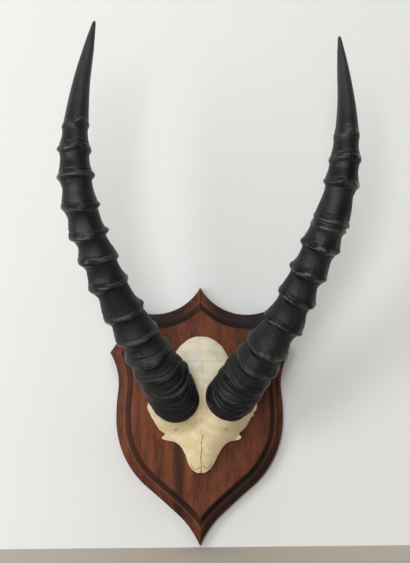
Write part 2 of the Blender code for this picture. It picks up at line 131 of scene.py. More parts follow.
hornShape = {
    "rows": 1060,
    "columns": 88,
    "rowEasing": 0.97,  # below 1 the rows lie a little closer together towards the tip
    "cornerRound": 1.2,  # how far the radius is averaged where its slope changes, mm
    "sharpTip": 3.0,  # length at the tip that is left out of that averaging, mm
    "rimRadius": 24.2,
    "rimRound": 1.6,
    "lipRound": 4.4,  # rounding of a ring's edge, mm
    "stepOuter": 6.5,  # length of the hollow under a ring on the horn's outer side, mm
    "stepInner": 3.6,  # the same on its inner side, where a ring steps in abruptly
    "stepMost": 0.26,  # that length at most, as a share of the way between two rings
    "cupEnd": 0.64,  # share of the way to the next ring at which a cup has reached its waist
    "cupPower": 1.7,  # above 1 the cup flares like a trumpet
    "innerShare": 0.55,  # height of the rings on the inner side, over that on the outer side
    "innerTurn": 1.3,  # how much further round the rings are lowest than where they slant to
    # rounded bead on a ring's edge, furrow and thin ridge above it, furrow under it: height, place above the
    # edge, half-width, mm
    "bead": [(1.8, 0.0, 3.0), (-0.55, 4.2, 0.9), (0.35, 5.5, 0.8), (-0.6, -4.0, 1.1)],
    "beadStrength": (0.8, 0.15, 1.6),  # middle, least, most
    "fullRing": 3.0,  # a ring of this height has a full bead, mm
    "leastBead": 0.35,  # share of the bead on the lowest rings
    "ringGain": 1.22,
    "lean": 20.0,  # how far the lowest rings lean forwards, degrees
    "droop": 0.5,  # how far a ring's edge hangs towards the skull, mm
    "lipWidth": 1.8,  # half-width of a ring's rubbed edge, mm
    "ridgePower": 0.8,  # below 1 the close rings are round with narrow furrows
    "ridgeMiddle": 0.7,
    "furrowEdge": 0.35,  # how far up a close ring its dark furrow, dirt and painted shade, reaches
    "fineOuter": 0.3,  # height of the close rings on the outer side, over that on the inner side
    "sink": 0.85,  # taken off again for the beads, which lift the whole surface a little, mm
    "tipTaper": 12.0,  # length at the tip over which beads and unevenness die out, mm
    "fallEnds": (8.0, 40.0),  # how far before the rim and past the tip the next rings would stand, mm
    # unevenness: number added to the horn's seed, waves round, reach along in mm, waves in all, size
    "uneven": {
        "edge": (0, 3, 60, 7, 1.1),
        "edgeRipple": (1, 8, 40, 7, 0.45),
        "height": (2, 3, 90, 7, 0.14),
        "ridges": (3, 5, 30, 7, 0.6),
        "grooves": (4, 34, 160, 16, 0.09),
        "lumps": (5, 4, 95, 7, 0.45),
        "beads": (6, 7, 60, 7, 0.4),
        "crust": (7, 24, 22, 18, 0.17),
    },
    # distances along the horn between which each comes in or dies out, mm; the smooth tip's start at the
    # last ring
    "fades": {
        "edge": (2, 12), "leanIn": (0, 28), "leanOut": (38, 100), "fine": (22, 72), "lumps": (240, 300),
        "crust": (80, 220), "swell": (2, 26), "lip": (15, 60), "hang": (3, 10), "smoothTip": (2, 20),
    },
}

horns = {
    "horn_left": {
        "seed": 11,
        "fineRings": (4.2, 1.9),  # spacing and height of the close wavy rings near the skull, mm
        "swell": (5.4, 0.0),  # how far the base swells over the bone, mm, and towards which side, degrees
        "inner": 70.0,  # direction of the inner side round the horn, degrees from the front
        "knob": (299, -2, 1.3, 3.2),  # place along the horn, direction in degrees, height, half-width
        "line": [
            (-29.8, -58, -2), (-32.5, -72, 4), (-38.5, -82, 14.5), (-47.2, -89, 27.5), (-73.8, -110, 68.7),
            (-92.7, -128, 101.3), (-106.7, -142, 134.4), (-117.7, -152, 163.6), (-124, -158, 194.2),
            (-126.2, -159, 224.8), (-124.8, -157, 250.5), (-120.6, -154, 289.5), (-114.6, -153, 321.6),
            (-109, -154, 349.8),
        ],
        # distance along the horn, radius of the edge, height of the edge, slant to the inner side in degrees
        "rings": [
            (8, 24.4, 1.4, 0), (19, 24.5, 2.2, 2), (35, 24.3, 3.1, 3), (50, 23.8, 3.4, 4),
            (68, 22.4, 3.2, 5), (88, 21, 3.0, 7), (116, 20.4, 3.4, 7), (148, 19.2, 3.4, 7),
            (174, 18.5, 3.3, 7), (198, 18.2, 3.2, 6), (225, 17.6, 3.1, 9), (253, 17, 2.8, 3),
            (278, 15.4, 2.0, 3), (301, 12.8, 1.1, -12),
        ],
    },
    "horn_right": {
        "seed": 23,
        "fineRings": (3.3, 1.5),
        "swell": (4.6, -18.0),
        "inner": -70.0,
        "knob": (300, 20, 0.4, 3.0),
        "line": [
            (27.2, -58, -2), (30.3, -72, 4), (37, -82, 14.5), (46.5, -89, 28), (61, -99, 48.6),
            (77.2, -112, 75), (88, -125, 100), (97.9, -136, 122.8), (107, -145, 145.5),
            (116.8, -153, 172.8), (123.5, -158, 200.5), (127, -159, 228.9), (128.8, -157, 258),
            (128, -155, 287.5), (123.2, -154, 340.5),
        ],
        "rings": [
            (7, 24.4, 1.2, 0), (16, 24.5, 1.6, 2), (28, 24.3, 2.4, 3), (42, 24, 2.9, 4), (58, 23, 3.1, 4),
            (75, 21.8, 2.8, 4), (103, 20.8, 3.2, 3), (132, 19.7, 3.3, 0), (160, 18.9, 3.3, 0),
            (188, 18.8, 3.2, 8), (207, 18, 1.5, 4), (213.5, 17.7, 2.4, 3), (249, 17, 2.8, 4),
            (272, 15.2, 1.8, 5), (296, 12.7, 0.9, 8),
        ],
    },
}

# distance back from the tip, radius
hornTip = [
    (0, 0.0), (0.4, 0.8), (2.5, 1.9), (9, 3.3), (15, 4.4), (27, 5.9), (42, 7.4), (60, 8.8), (78, 10.5),
    (90, 11.6),
]


def hornAxes(line, along):
    # centre, direction, side and front of the horn at each distance; the side is square to the wall's
    # direction
    points, lengths = smoothLine(line)
    reach = 3.0
    behind, centre, ahead = (
        np.stack([np.interp(along + offset, lengths, points[:, i]) for i in range(3)], -1)
        for offset in (-reach, 0.0, reach))
    direction = ahead - behind
    direction /= np.linalg.norm(direction, axis=1)[:, None]
    side = np.cross(direction, (0.0, -1.0, 0.0))
    side /= np.linalg.norm(side, axis=1)[:, None]
    return centre, direction, side, np.cross(side, direction)


def hornRadius(places, radii, length, s, shape):
    # radius of the rings' edges along the horn: the rim's, then each ring's, then the smooth tip's
    tip = ((length - back, radius) for back, radius in hornTip)
    envelope = [(0.0, shape["rimRadius"]), *zip(places, radii), *tip]
    rounded = readTable(envelope, s, shape["cornerRound"])
    return np.where(s > length - shape["sharpTip"], readTable(envelope, s), rounded)


def cupDepth(place, ringPlaces, shape, facing):
    # how far in the surface lies between two rings, from 0 on an edge to 1 at the waist: it falls away
    # from an edge like a trumpet and comes out again under the next, softly on the horn's outer side
    below = np.clip(np.searchsorted(ringPlaces, place) - 1, 0, len(ringPlaces) - 2)
    gap = ringPlaces[below + 1] - ringPlaces[below]
    above = place - ringPlaces[below]
    rounded = np.sqrt(above**2 + shape["lipRound"]**2) - shape["lipRound"]
    flare = 1.0 - (1.0 - np.clip(rounded / (gap * shape["cupEnd"]), 0.0, 1.0)) ** shape["cupPower"]
    left = np.maximum(ringPlaces[below + 1] - place, 0.0)
    width = shape["stepOuter"] + (shape["stepInner"] - shape["stepOuter"]) * facing
    width = np.minimum(width, gap * shape["stepMost"])
    return flare * (1.0 - np.exp(-(left / width) ** 2)), below


def beadHeight(place, ringPlaces, scale, shape):
    # a rounded bead with a furrow and a thin ridge above it, round each ring's edge
    total = 0.0
    for ring, high in zip(ringPlaces, scale):
        offset = place - ring
        for height, centre, width in shape["bead"]:
            total = total + high * height * np.exp(-((offset - centre) / width) ** 2)
    return total


def makeHorn(name, shape):
    # a tube round the horn's curved line; its radius is the table's, less the cups between slanting rings
    horn = horns[name]
    _, lengths = smoothLine(horn["line"])
    length = lengths[-1]
    along = length * np.linspace(0, 1, shape["rows"]) ** shape["rowEasing"]
    turn = np.linspace(-math.pi, math.pi, shape["columns"], endpoint=False)[None, :]
    s = along[:, None]
    inner = math.radians(horn["inner"])
    places, radii, heights, slants = np.array(horn["rings"], float).T
    radius = hornRadius(places, radii, length, s, shape)

    def uneven(kind):
        number, around, reach, waves, size = shape["uneven"][kind]
        return wander(turn, s, horn["seed"] + number, around, reach, waves) * size

    def fade(kind):
        return smoothStep(s, *shape["fades"][kind])

    # a slanting ring meets the inner side at another distance than the outer side, and near the skull the
    # rings lean forwards, so they dip on the front and crowd together at the bone
    slant = np.tan(np.radians(np.interp(s, places, slants))) * radius * np.cos(turn - inner)
    lean = math.tan(math.radians(shape["lean"])) * radius * np.cos(turn)
    edge = (uneven("edge") + uneven("edgeRipple")) * fade("edge")
    place = s + slant + edge + lean * fade("leanIn") * (1 - fade("leanOut"))

    before, beyond = shape["fallEnds"]
    ringPlaces = np.concatenate([[-before], places, [length + beyond]])
    facing = 0.5 + 0.5 * np.cos(turn - inner * shape["innerTurn"]) + 0 * s  # 1 inside, 0 on the outer side
    depth, below = cupDepth(place, ringPlaces, shape, facing)
    ringHeights = np.concatenate([[1.0], heights, [0.0]])
    between = smoothStep(place, ringPlaces[below], ringPlaces[below + 1])
    height = ringHeights[below] * (1 - between)
    height = height + ringHeights[np.minimum(below + 1, len(places))] * between
    height = height * shape["ringGain"] * (1.0 - (1.0 - shape["innerShare"]) * facing)
    height = height * (1.0 + uneven("height"))
    tipStart, tipFull = shape["fades"]["smoothTip"]
    ringed = 1 - smoothStep(place, places[-1] + tipStart, places[-1] + tipFull)  # the smooth tip has no rings
    height = height * ringed
    middle, least, most = shape["beadStrength"]
    beads = beadHeight(place, places, np.clip(heights / shape["fullRing"], shape["leastBead"], 1.0), shape)
    beads = beads * np.clip(middle + uneven("beads"), least, most)

    # close wavy rings near the skull, which die out up the horn
    spacing, fineHeight = horn["fineRings"]
    wave = place + uneven("ridges")
    ridges = np.abs(np.sin(math.pi * wave / spacing)) ** shape["ridgePower"] - shape["ridgeMiddle"]
    near = 1 - fade("fine")
    fine = ridges * fineHeight * (shape["fineOuter"] + (1 - shape["fineOuter"]) * facing) * near
    relief = beads - shape["sink"] + fine + uneven("grooves")
    relief = relief + uneven("lumps") * (1 - fade("lumps")) + uneven("crust") * (1 - fade("crust"))

    # a small knob, and the base's swelling over the bone
    knobPlace, knobTurn, knobHeight, knobWidth = horn["knob"]
    knobSquare = (s - knobPlace)**2 + ((turn - math.radians(knobTurn)) * radius)**2
    knob = knobHeight * np.exp(-knobSquare / knobWidth**2)
    amount, swellSide = horn["swell"]
    swell = amount * np.clip(np.cos(turn - math.radians(swellSide)), 0, 1) ** 1.5 * (1 - fade("swell"))

    rimFade = np.sqrt(np.clip(1 - (1 - np.clip(s / shape["rimRound"], 0, 1)) ** 2, 0, 1))
    taper = np.clip((length - s) / shape["tipTaper"], 0, 1)
    surface = radius - height * depth + relief * taper + swell + knob
    surface = surface - (1 - rimFade) * shape["rimRound"]
    surface[-1] = 0.0

    centre, direction, side, front = hornAxes(horn["line"], along)
    nearest = np.minimum(np.abs(place - ringPlaces[below]), np.abs(ringPlaces[below + 1] - place))
    lip = np.exp(-(nearest / shape["lipWidth"]) ** 2) * ringed * fade("lip")
    hang = lip * shape["droop"] * np.clip(height / shape["fullRing"], 0, 1) * fade("hang")
    outwards = front[:, None] * np.cos(turn)[..., None] + side[:, None] * np.sin(turn)[..., None]
    points = centre[:, None] + outwards * surface[..., None] - direction[:, None] * hang[..., None]

    straight = np.stack([np.cos(turn) * radius, np.sin(turn) * radius, s + 0 * turn], -1)
    attributes = {
        "straight": straight.reshape(-1, 3) * mm,  # the horn as if unrolled to a straight one
        "lip": lip.ravel(),
        "waist": (depth * ringed).ravel(),
        "furrow": (np.clip(shape["furrowEdge"] - ridges, 0, 1) * near).ravel(),
    }
    rows, columns = surface.shape
    last = (rows - 1) * columns  # the tip's row is a single point
    ring = np.arange(columns)
    tip = np.stack([last - columns + ring, last - columns + (ring + 1) % columns, np.full(columns, last)], -1)
    faces = gridQuads(rows - 1, columns, True).tolist() + tip.tolist() + [ring[::-1].tolist()]
    attributes = {key: values[:last + 1] for key, values in attributes.items()}
    return makePiece(name + "_sheath", points.reshape(-1, 3)[:last + 1], faces, attributes, 70)


# Skull cap

skullShape = {
    "centre": -0.8,
    "rows": 400,
    "columns": 222,
    "crowding": 0.4,  # 0 spaces the columns evenly, more crowds them in the middle
    "wall": 0.08,  # share of the columns at each side that makes the wall down to the board
    "undercut": 0.96,
    "crown": 2.3,  # 2 makes the vault's section a parabola, more makes it flatter on top
    "endRound": (1.0, 0.8),  # the lower and the upper end drop to the board over this length, mm
    "endHeight": 0.55,  # share of the height that is left there
    # the bosses under the horns
    "rimRadius": 24.2,
    "inset": 4.0,  # how far inside the rim the boss begins to fall away, mm
    "pedicleFade": 15.0,
    "seatGap": 0.3,  # how far the bone stands under the rim, mm
    "seatSwell": 4.6,  # how much wider the boss is where the horn swells: down and towards the middle, mm
    "swellLean": 0.4,
    # furrows and holes
    "suture": (1.7, 0.35),  # a suture's dashes: spacing in mm, and how deep it is between them
    "seamDepth": 1.1,
    "pits": [(-27, -35, 2.1, 1.4), (24, -34.5, 1.6, 1.3), (-21, -36.5, 0.8, 0.5), (28.5, -37, 0.7, 0.4)],
    # serrated arcs beside the nose: side, middle, radius, where they come in across and down
    "noseArcs": [(-1, -6, -70.5, 4.6, (1.2, 2.5), (69, 71)), (1, 5.4, -70, 4.2, (0.6, 2), (68, 70))],
    "saw": (0.35, 3.4),  # height of their teeth, and radians of the teeth's wave in a millimetre
    "arcDepth": 0.5,
    "blueSpot": (-7, 41, 5.5, 4.5),  # middle and half-sizes
}

# height, left half-width, right half-width
skullOutline = [
    (60.4, 2, 2), (60.1, 4.6, 4.2), (59.2, 8, 7.8), (57.6, 11.6, 11.8), (55.6, 15, 15.6), (50, 21.5, 22),
    (42.5, 27, 26.5), (34, 31, 30.5), (26, 37, 37), (17, 46, 46.5), (8, 51, 52), (-1, 52, 54), (-6, 53, 56),
    (-9, 54.6, 57.4), (-12.5, 55.2, 57.6), (-16, 54.2, 56.3), (-18.4, 52.5, 53.4), (-20.4, 51.8, 54.6),
    (-21.6, 51.2, 54.2), (-22.3, 50.8, 50.8), (-25.4, 48.7, 50.3), (-32, 45, 46.8), (-35.6, 42.2, 43.6),
    (-38.4, 37.4, 39.8), (-40.6, 37, 39.4),
    (-42.2, 39.4, 41.6), (-43.6, 40, 41.6), (-45.2, 38.6, 40.2), (-46.2, 34, 36), (-47, 27.5, 29.5),
    (-50, 22.6, 24.6), (-53.8, 19.4, 21.5), (-60.5, 15.9, 17.6), (-69, 13.3, 13.9), (-75, 9.4, 9.8),
    (-78.2, 5.3, 5.6), (-79.3, 2.8, 3), (-79.6, 1.2, 1.2),
]

# height, half-width of the vault alone, without the hooks of the eye rims
skullVault = [
    (60.4, 8), (55.6, 18), (50, 23), (42.5, 27.5), (34, 31), (17, 46), (0, 54), (-16, 57), (-25, 51),
    (-36, 44), (-44, 37), (-52, 27), (-60, 20.5), (-69, 16.5), (-79.6, 9),
]

# height, crown over the board, outer edge over the board
skullHeights = [
    (60.4, 6, 4), (59.2, 10, 5), (55.6, 17, 6), (50, 22.5, 7), (42.5, 27, 8), (34, 30.5, 9), (26, 32.5, 10),
    (17, 34, 12), (8, 35, 13), (-1, 35.5, 13), (-6, 35.5, 12), (-12.5, 35, 11), (-19, 34.5, 10.5),
    (-25.4, 33.5, 10), (-32, 32, 9.5), (-38.4, 30, 9), (-43.6, 28, 8.5), (-47, 26.5, 8.5),
    (-53.8, 23, 9), (-60.5, 19.5, 9),
    (-69, 15.5, 8), (-75, 12.5, 7), (-78.2, 10.5, 6), (-79.6, 8.5, 5),
]


def hornSeat(name):
    # middle of the rim that stands on the skull, and its direction
    first, second = (np.array(point, float) for point in horns[name]["line"][:2])
    axis = second - first
    return first, axis / np.linalg.norm(axis)


def bossHeight(x, z, board, shape):
    # height over the board of the bony boss that carries the nearer horn, and how far it counts there
    plane, share = np.zeros_like(x), np.zeros_like(x)
    for name, here in (("horn_left", x < shape["centre"]), ("horn_right", x >= shape["centre"])):
        centre, axis = hornSeat(name)
        right, up = x - centre[0], z - centre[2]
        away = (axis[0] * right + axis[2] * up) / axis[1]
        reach = np.hypot(right, up)
        lean = math.copysign(shape["swellLean"], -centre[0])
        swollen = (lean * right - up) / 1.08 / np.maximum(reach, 1.0)  # 1 in the direction of the swelling
        reach = reach - shape["seatSwell"] * np.clip(swollen, 0, 1)
        plane = np.where(here, -(centre[1] - away) - board - shape["seatGap"], plane)
        out = np.clip((reach - shape["rimRadius"] + shape["inset"]) / shape["pedicleFade"], 0, 1)
        share = np.where(here, (1 - out) ** 2, share)
    return plane, share


def groove(distance, width):
    # a narrow furrow: 1 on its line, falling away on both sides
    return np.exp(-(distance / width) ** 2)


def stitches(along, shape):
    # a suture is a row of short dashes: a raised sine
    spacing, least = shape["suture"]
    return least + (1 - least) * (0.5 + 0.5 * np.sin(2 * math.pi * along / spacing))


def makeSkull(shape):
    # a height over the board on a grid of rows and columns that follow the outline: a vault from edge to
    # edge, raised to the bosses under the horns, less the furrows of the sutures and the small holes
    low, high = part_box("skull_cap")
    board = -high.y / mm
    bottom, top = low.z / mm, high.z / mm
    z = (bottom + (top - bottom) * np.linspace(0, 1, shape["rows"]))[:, None]
    t = np.linspace(-1, 1, shape["columns"])[None, :]
    part = t / (1 - shape["wall"])
    across = np.clip((1 - shape["crowding"]) * part + shape["crowding"] * part**3, -1, 1)
    wall = np.clip((np.abs(part) - 1) / (1 / (1 - shape["wall"]) - 1), 0, 1)  # 0 on the front, 1 at the board

    heights = np.array(skullOutline, float)
    leftWidth = readTable(heights[:, [0, 1]].tolist(), z, 0.5)
    rightWidth = readTable(heights[:, [0, 2]].tolist(), z, 0.5)
    crown = readTable([(h, c) for h, c, _ in skullHeights], z, 3.0)
    edge = readTable([(h, e) for h, _, e in skullHeights], z, 3.0)
    half = np.where(across < 0, leftWidth, rightWidth) * (1 - (1 - shape["undercut"]) * wall)
    x = shape["centre"] + across * half
    z = z + 0 * x

    spread = np.clip(np.abs(x - shape["centre"]) / readTable(skullVault, z, 7.0), 0, 1)
    vault = edge + (crown - edge) * (1 - spread ** shape["crown"])
    boss, share = bossHeight(x, z, board, shape)
    height = vault + np.maximum(boss - vault, 0.0) * share

    # two long sutures down the forehead, one across it, and a crack below them with a short branch
    middle = shape["centre"] - 0.4 + wander(0, z, 41, around=0, reach=22) * 0.35
    level = 34.2 + wander(0, x, 43, around=0, reach=5) * 0.7 + 0.02 * x
    aside, down = x - middle, -z
    midline = groove(aside, 0.5) * smoothStep(down, -35, -31) * (1 - smoothStep(down, 38, 41)) * 0.38
    second = groove(aside - 1.6, 0.45) * smoothStep(down, -31, -27) * (1 - smoothStep(down, -8, 0)) * 0.3
    coronal = groove(z - level, 0.5) * (1 - smoothStep(np.abs(x), 19, 23)) * 0.45
    crack = groove(aside - 0.5, 0.55) * smoothStep(down, 38.5, 41.5) * (0.75 + 0.35 * wander(0, z, 44, 0, 14))
    branch = groove(z + 41, 0.4) * smoothStep(aside, -0.5, 0.3) * (1 - smoothStep(aside, 2.5, 4)) * 0.6
    sutures = (midline + second) * stitches(z, shape) + coronal * stitches(x, shape)
    seam = np.clip(sutures + crack + branch, 0, 1.2)

    pits = sum(groove(np.hypot(x - px, (z - pz) * 1.3), size) * deep for px, pz, size, deep in shape["pits"])
    teeth, wave = shape["saw"]
    bite = 0.0
    for side, px, pz, radius, (inner, outer), (start, full) in shape["noseArcs"]:
        arc = groove(np.hypot(x - px, z - pz) - radius + teeth * np.sin(x * wave), 0.65)
        bite = bite + arc * smoothStep(side * x, inner, outer) * smoothStep(down, start, full)
    rough = wander(x / 9, z, 45, around=3, reach=26) * 0.35 + wander(x / 2.5, z, 46, around=3, reach=7) * 0.08
    height = height - seam * shape["seamDepth"] - pits - bite * shape["arcDepth"] + rough * (1 - share)

    lower, upper = shape["endRound"]
    ends = smoothStep(z, bottom, bottom + lower) * (1 - smoothStep(z, top - upper, top))
    height = height * (1 - wall) * (shape["endHeight"] + (1 - shape["endHeight"]) * ends)
    height[0], height[-1] = 0.0, 0.0
    height[:, 0], height[:, -1] = 0.0, 0.0
    points = np.stack([x, -(board + height), z], -1)

    rows, columns = x.shape
    numbers = np.arange(rows * columns).reshape(rows, columns)
    back = np.concatenate([numbers[0, ::-1], numbers[1:, 0], numbers[-1, 1:], numbers[-2:0:-1, -1]])
    px, pz, wide, tall = shape["blueSpot"]
    blue = groove(np.hypot((x - px) / wide, (z - pz) / tall), 1.0)
    attributes = {
        "seam": np.clip(seam + pits * 0.5 + bite * 0.8, 0, 1).ravel(),
        "bleach": blue.ravel(),
        "underHorn": share.ravel(),
    }
    faces = gridQuads(rows, columns, False).tolist() + [back.tolist()]
    return makePiece("skull_cap_bone", points.reshape(-1, 3), faces, attributes, 60)


# Shield

shieldShape = {
    "top": (0.0, 113.0),
    # end x, end z, radius (below 0 is hollow), is the end a corner?; from the top point down the right side
    "arcs": [
        (70, 88.6, -56.4, True), (94.4, 44, -220, True), (86.1, 1, -63, False), (87.4, -24.5, 188, False),
        (55.85, -94.3, 93, False), (24.5, -121.8, -900, False), (0, -155.5, -95, True),
    ],
    "spacing": 1.4,  # of the points along the outline, mm
    "arris": 0.7,
    "edgeHeight": 8.0,
    "ovolo": (8.8, 7.0),  # width, height
    "fillet": 1.2,
    "cove": (5.2, 6.2),
    "fieldMiddle": -14.0,  # height of the point that the field's loops shrink to
    "fieldRings": 52,
    "fieldInset": 4.0,  # inset given to the whole field, past the moulding's, for its material
}


def arcCentre(start, end, radius):
    # centre of the arc from start to end, walking clockwise round the shield
    chord = end - start
    inwards = np.array([chord[1], -chord[0]]) / np.linalg.norm(chord)
    return (start + end) / 2 + inwards * math.copysign(math.sqrt(radius**2 - chord @ chord / 4), radius)


def circlesMeet(centreA, radiusA, centreB, radiusB, near):
    # for arrays of radii: the crossing of two circles that lies nearer to a known point
    line = centreB - centreA
    length = np.linalg.norm(line)
    unit = line / length
    along = (radiusA**2 - radiusB**2 + length**2) / (2 * length)
    off = np.sqrt(np.maximum(radiusA**2 - along**2, 0.0))
    foot = centreA + along[:, None] * unit
    side = off[:, None] * np.array([-unit[1], unit[0]])
    first = np.linalg.norm(foot + side - near, axis=1) < np.linalg.norm(foot - side - near, axis=1)
    return np.where(first[:, None], foot + side, foot - side)


def insetOutlines(shape, insets):
    # the outline moved in by each inset: the arcs keep their centres, and meet again on the corners' mitres
    arcs, start = [], np.array(shape["top"])
    for x, z, radius, corner in shape["arcs"]:
        end = np.array([x, z], float)
        arcs.append((start, end, arcCentre(start, end, radius), radius, corner))
        start = end
    flip = np.array([-1.0, 1.0])
    _, _, centre, radius, _ = arcs[0]
    reach = np.abs(radius - insets)
    knots = [circlesMeet(centre, reach, centre * flip, reach, np.array(shape["top"]))]
    for i, (_, end, centre, radius, corner) in enumerate(arcs):
        reach = np.abs(radius - insets)
        if not corner:
            inwards = (centre - end) / abs(radius) * math.copysign(1, radius)
            knots.append(end + insets[:, None] * inwards)
        elif i + 1 < len(arcs):
            knots.append(circlesMeet(centre, reach, arcs[i + 1][2], np.abs(arcs[i + 1][3] - insets), end))
        else:
            knots.append(circlesMeet(centre, reach, centre * flip, reach, end))
    half = []
    for (start, end, centre, _, _), a, b in zip(arcs, knots, knots[1:]):
        count = max(3, round(np.linalg.norm(end - start) / shape["spacing"]))
        first, last = a - centre, b - centre
        sweep = np.arctan2(first[:, 0] * last[:, 1] - first[:, 1] * last[:, 0], np.sum(first * last, 1))
        bearing = np.arctan2(first[:, 1], first[:, 0])[:, None] + sweep[:, None] * np.arange(count) / count
        size = np.linalg.norm(first, axis=1)[:, None]
        size = size + (np.linalg.norm(last, axis=1)[:, None] - size) * np.arange(count) / count
        half.append(centre + size[..., None] * np.stack([np.cos(bearing), np.sin(bearing)], -1))
    half.append(knots[-1][:, None])
    half = np.concatenate(half, axis=1)
    return np.concatenate([half, half[:, -2:0:-1] * flip], axis=1)


def mouldingProfile(shape, top):
    # inset and height from the back face: square edge, quarter-round ovolo, small fillet, hollow cove, field
    arris = shape["arris"]
    quarter = np.linspace(0, math.pi / 2, 9)
    back = np.stack([arris * (1 - np.sin(quarter)), arris * (1 - np.cos(quarter))], -1)
    ovoloWidth, ovoloHeight = shape["ovolo"]
    turn = np.linspace(0, math.pi / 2, 22)
    ovolo = np.stack([ovoloWidth * (1 - np.cos(turn)), shape["edgeHeight"] + ovoloHeight * np.sin(turn)], -1)
    fillet = ovolo[-1] + np.stack([shape["fillet"] * np.linspace(0.12, 1, 4), np.array([0, 0, 0, -0.12])], -1)
    coveWidth, coveHeight = shape["cove"]
    cove = fillet[-1] + np.stack([coveWidth * np.sin(turn), coveHeight * (1 - np.cos(turn))], -1)
    height = top - cove[-1][1]
    lip = cove[-1] + np.stack([arris * (1 - np.cos(quarter)), height * np.sin(quarter)], -1)[1:]
    side = np.stack([np.zeros(6), np.linspace(arris, shape["edgeHeight"], 8)[1:-1]], -1)
    return np.vstack([back, side, ovolo, fillet, cove[1:], lip])


def makeShield(shape):
    # the moulding's profile carried round the outline, then the field as loops shrinking to the middle
    low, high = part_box("shield_board")
    top = (high.y - low.y) / mm
    profile = mouldingProfile(shape, top)
    outlines = insetOutlines(shape, profile[:, 0])
    rows = np.concatenate([outlines, -profile[:, 1, None, None] + 0 * outlines[..., :1]], -1)[..., [0, 2, 1]]
    edge = rows[-1]
    middle = np.array([0.0, edge[0, 1], shape["fieldMiddle"]])
    share = (1 - np.linspace(0, 1, shape["fieldRings"] + 1)[1:-1])[:, None, None]
    field = middle + (edge - middle) * share
    points = np.concatenate([rows, field])[::-1]  # from the middle outwards and round to the back
    loops, around = points.shape[:2]
    flatInset = profile[-1, 0] + shape["fieldInset"]
    inset = np.concatenate([profile[:, 0], np.full(len(field), flatInset)])[::-1]
    flat = np.vstack([points.reshape(-1, 3), middle])
    ring = np.arange(around)
    centre = loops * around
    fan = np.stack([(ring + 1) % around, ring, np.full(around, centre)], -1)
    back = (loops - 1) * around + ring
    faces = gridQuads(loops, around, True).tolist() + fan.tolist() + [back.tolist()]
    along = np.roll(outlines[0], -1, 0) - np.roll(outlines[0], 1, 0)
    along = along / np.linalg.norm(along, axis=1)[:, None]
    facing = along[:, 0]  # 1 where the edge faces up, -1 where it faces down
    worn = np.clip((-0.66 * facing - 0.75 * along[:, 1] - 0.86) / 0.12, 0, 1)  # painted shade: 1 on the lower right edge, the one turned away from the lamps
    moulded = (inset < profile[-1, 0] + 1)[:, None]
    attributes = {
        "inset": np.append(np.repeat(inset, around), flatInset) * mm,
        "facing": np.append((np.tile(facing, (loops, 1)) * moulded).ravel(), 0.0),
        "stained": np.append((np.tile(worn, (loops, 1)) * moulded).ravel(), 0.0),
    }
    return makePiece("shield_board_wood", flat, faces, attributes, 30)


# Recesses on the back of the shield

fixings = {
    "gap": 0.3,
    "pocketRadius": 6.0,
    "pocketDepth": 10.0,
    "entryDrop": 4.0,  # how far the keyhole's entry lies below the plate's middle, mm
    "rise": 10.0,  # how far its slot rises above the entry, mm
    "holeShare": 0.62,  # radius of a screw's hole, over that of its head
    "holeDeepest": 21.0,
    "sinkDepth": 2.0,
    "sides": 42,
}


def barCutter(name, radius, lowZ, highZ, depth):
    # a bar with round ends let into the back face; with equal heights it is a round hole
    half = fixings["sides"] // 2
    turn = np.linspace(0, math.pi, half + 1)
    upper = np.stack([radius * np.cos(turn), highZ + radius * np.sin(turn)], -1)
    lower = np.stack([-radius * np.cos(turn), lowZ - radius * np.sin(turn)], -1)
    outline = np.vstack([upper, lower if highZ > lowZ else lower[1:-1]])
    count = len(outline)
    front = np.stack([outline[:, 0], np.full(count, -depth), outline[:, 1]], -1)
    back = front + (0, depth + 1.0, 0)
    ring = np.arange(count)
    sides = np.stack([ring, ring + count, (ring + 1) % count + count, (ring + 1) % count], -1)
    faces = sides.tolist() + [ring.tolist(), (ring + count)[::-1].tolist()]
    mesh = bpy.data.meshes.new(name)
    mesh.from_pydata((np.vstack([front, back]) * mm).tolist(), [], faces)
    cutter = bpy.data.objects.new(name, mesh)
    bpy.context.scene.collection.objects.link(cutter)
    return cutter


def cutBack(board):
    # the plate's recess, the pocket behind its keyhole and the screws' holes, each placed from its own node
    plateLow, plateHigh = (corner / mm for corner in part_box("hanger_plate"))
    gap, middle = fixings["gap"], (plateLow.z + plateHigh.z) / 2
    radius = (plateHigh.x - plateLow.x) / 2
    entry = middle - fixings["entryDrop"]
    slotTop, pocketDepth = entry + fixings["rise"], fixings["pocketDepth"]
    cutters = [
        barCutter("plateRecess", radius + gap, plateLow.z + radius, plateHigh.z - radius, gap - plateLow.y),
        barCutter("keyholePocket", fixings["pocketRadius"], entry, slotTop, pocketDepth),
    ]
    for node in ("hanger_screw_upper", "hanger_screw_lower", "skull_screw_upper", "skull_screw_lower"):
        low, high = (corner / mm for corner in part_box(node))
        z, wide = (low.z + high.z) / 2, (high.x - low.x) / 2
        depth = min(-low.y, fixings["holeDeepest"])
        cutters.append(barCutter(node + "_hole", wide * fixings["holeShare"], z, z, depth))
        if node.startswith("skull"):
            cutters.append(barCutter(node + "_sink", wide + gap, z, z, fixings["sinkDepth"]))
    for cutter in cutters:
        cut = board.modifiers.new(cutter.name, "BOOLEAN")
        cut.solver, cut.object = "EXACT", cutter
    bpy.context.view_layer.update()
    whole = bpy.data.meshes.new_from_object(board.evaluated_get(bpy.context.evaluated_depsgraph_get()))
    board.modifiers.clear()
    board.data = whole
    for cutter in cutters:
        bpy.data.objects.remove(cutter)
    print("back of the shield cut:", len(whole.polygons), "faces")


# Materials

def linear(hexColour):
    # sRGB hex to linear values with alpha
    parts = [int(hexColour[i:i + 2], 16) / 255 for i in (1, 3, 5)]
    return [c / 12.92 if c <= 0.04045 else ((c + 0.055) / 1.055) ** 2.4 for c in parts] + [1.0]


def greys(*stops):
    # a ramp's stops, each a place and a brightness
    return [(place, (bright, bright, bright, 1)) for place, bright in stops]


